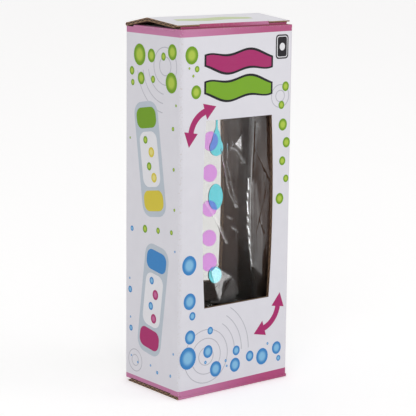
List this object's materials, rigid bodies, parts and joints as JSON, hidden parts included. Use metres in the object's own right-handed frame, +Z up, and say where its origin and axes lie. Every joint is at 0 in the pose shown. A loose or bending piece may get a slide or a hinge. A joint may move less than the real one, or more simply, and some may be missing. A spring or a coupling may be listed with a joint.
{
  "type": "liquid motion timer in windowed carton",
  "caption": "Upright printed corrugated carton with see-through windows and tuck ends, holding a waisted oval liquid timer in which coloured drops fall from twin funnels.",
  "frame": {"origin": "centre of the carton's footprint, on the floor under the bottom panel", "axes": "+Z up, the front window faces -Y, +X to the right as seen from the front"},
  "size_m": [0.062, 0.0398, 0.1637],
  "materials": {
    "printed_board": "glossy print on corrugated board",
    "kraft_board": "bare kraft",
    "clear_film": "clear film",
    "clear_plastic": "clear, polished",
    "teal_liquid": "clear tinted liquid",
    "pink_liquid": "clear tinted liquid",
    "carrier_liquid": "clear liquid"
  },
  "bodies": {
    "carton": {"front_panel": "printed_board", "rear_panel": "printed_board", "left_side_panel": "printed_board", "right_side_panel": "printed_board", "glue_flap": "kraft_board", "front_window_film": "clear_film", "rear_window_film": "clear_film"},
    "lid": {"lid_panel": "printed_board", "lid_tuck_flap": "printed_board"},
    "top_flap_left": {"top_dust_flap_left": "kraft_board"},
    "top_flap_right": {"top_dust_flap_right": "kraft_board"},
    "bottom": {"bottom_panel": "printed_board", "bottom_tuck_flap": "printed_board"},
    "bottom_flap_left": {"bottom_dust_flap_left": "kraft_board"},
    "bottom_flap_right": {"bottom_dust_flap_right": "kraft_board"},
    "timer": {"timer_shell": "clear_plastic", "top_end_cap": "clear_plastic", "bottom_end_cap": "clear_plastic", "upper_funnel": "clear_plastic", "lower_funnel": "clear_plastic", "centre_divider": "clear_plastic", "filler_plugs": "clear_plastic", "teal_upper_pool": "teal_liquid", "teal_lower_pool": "teal_liquid", "teal_gutter_pool": "teal_liquid", "pink_upper_pool": "pink_liquid", "pink_lower_pool": "pink_liquid", "pink_gutter_pool": "pink_liquid", "front_carrier": "carrier_liquid", "rear_carrier": "carrier_liquid", "upper_carrier": "carrier_liquid", "lower_carrier": "carrier_liquid"},
    "teal_stream": {"teal_drops": "teal_liquid"},
    "pink_stream": {"pink_drops": "pink_liquid"}
  },
  "joints": [
    {"name": "lid_hinge", "type": "hinge", "parent": "carton", "child": "lid", "pos_m": [0, 0.01915, 0.15995], "axis": [-1, 0, 0], "range_deg": [0, 165]},
    {"name": "top_flap_left_fold", "type": "hinge", "parent": "carton", "child": "top_flap_left", "pos_m": [-0.03025, 0, 0.1592], "axis": [0, -1, 0], "range_deg": [0, 99]},
    {"name": "top_flap_right_fold", "type": "hinge", "parent": "carton", "child": "top_flap_right", "pos_m": [0.03025, 0, 0.1592], "axis": [0, 1, 0], "range_deg": [0, 99]},
    {"name": "bottom_hinge", "type": "hinge", "parent": "carton", "child": "bottom", "pos_m": [0, -0.01915, 0.00075], "axis": [-1, 0, 0], "range_deg": [0, 165]},
    {"name": "bottom_flap_left_fold", "type": "hinge", "parent": "carton", "child": "bottom_flap_left", "pos_m": [-0.03025, 0, 0.00235], "axis": [0, 1, 0], "range_deg": [0, 99]},
    {"name": "bottom_flap_right_fold", "type": "hinge", "parent": "carton", "child": "bottom_flap_right", "pos_m": [0.03025, 0, 0.00235], "axis": [0, -1, 0], "range_deg": [0, 99]},
    {"name": "timer_lift", "type": "slide", "parent": "carton", "child": "timer", "axis": [0, 0, 1], "range_m": [0, 0.005]},
    {"name": "teal_fall", "type": "slide", "parent": "timer", "child": "teal_stream", "axis": [0, 0, -1], "range_m": [0, 0.0083]},
    {"name": "pink_fall", "type": "slide", "parent": "timer", "child": "pink_stream", "axis": [0, 0, -1], "range_m": [0, 0.0123]}
  ],
  "couplings": [
    {"joint": "top_flap_left_fold", "follows": "lid_hinge", "ratio": 0.6},
    {"joint": "top_flap_right_fold", "follows": "lid_hinge", "ratio": 0.6},
    {"joint": "bottom_flap_left_fold", "follows": "bottom_hinge", "ratio": 0.6},
    {"joint": "bottom_flap_right_fold", "follows": "bottom_hinge", "ratio": 0.6}
  ]
}
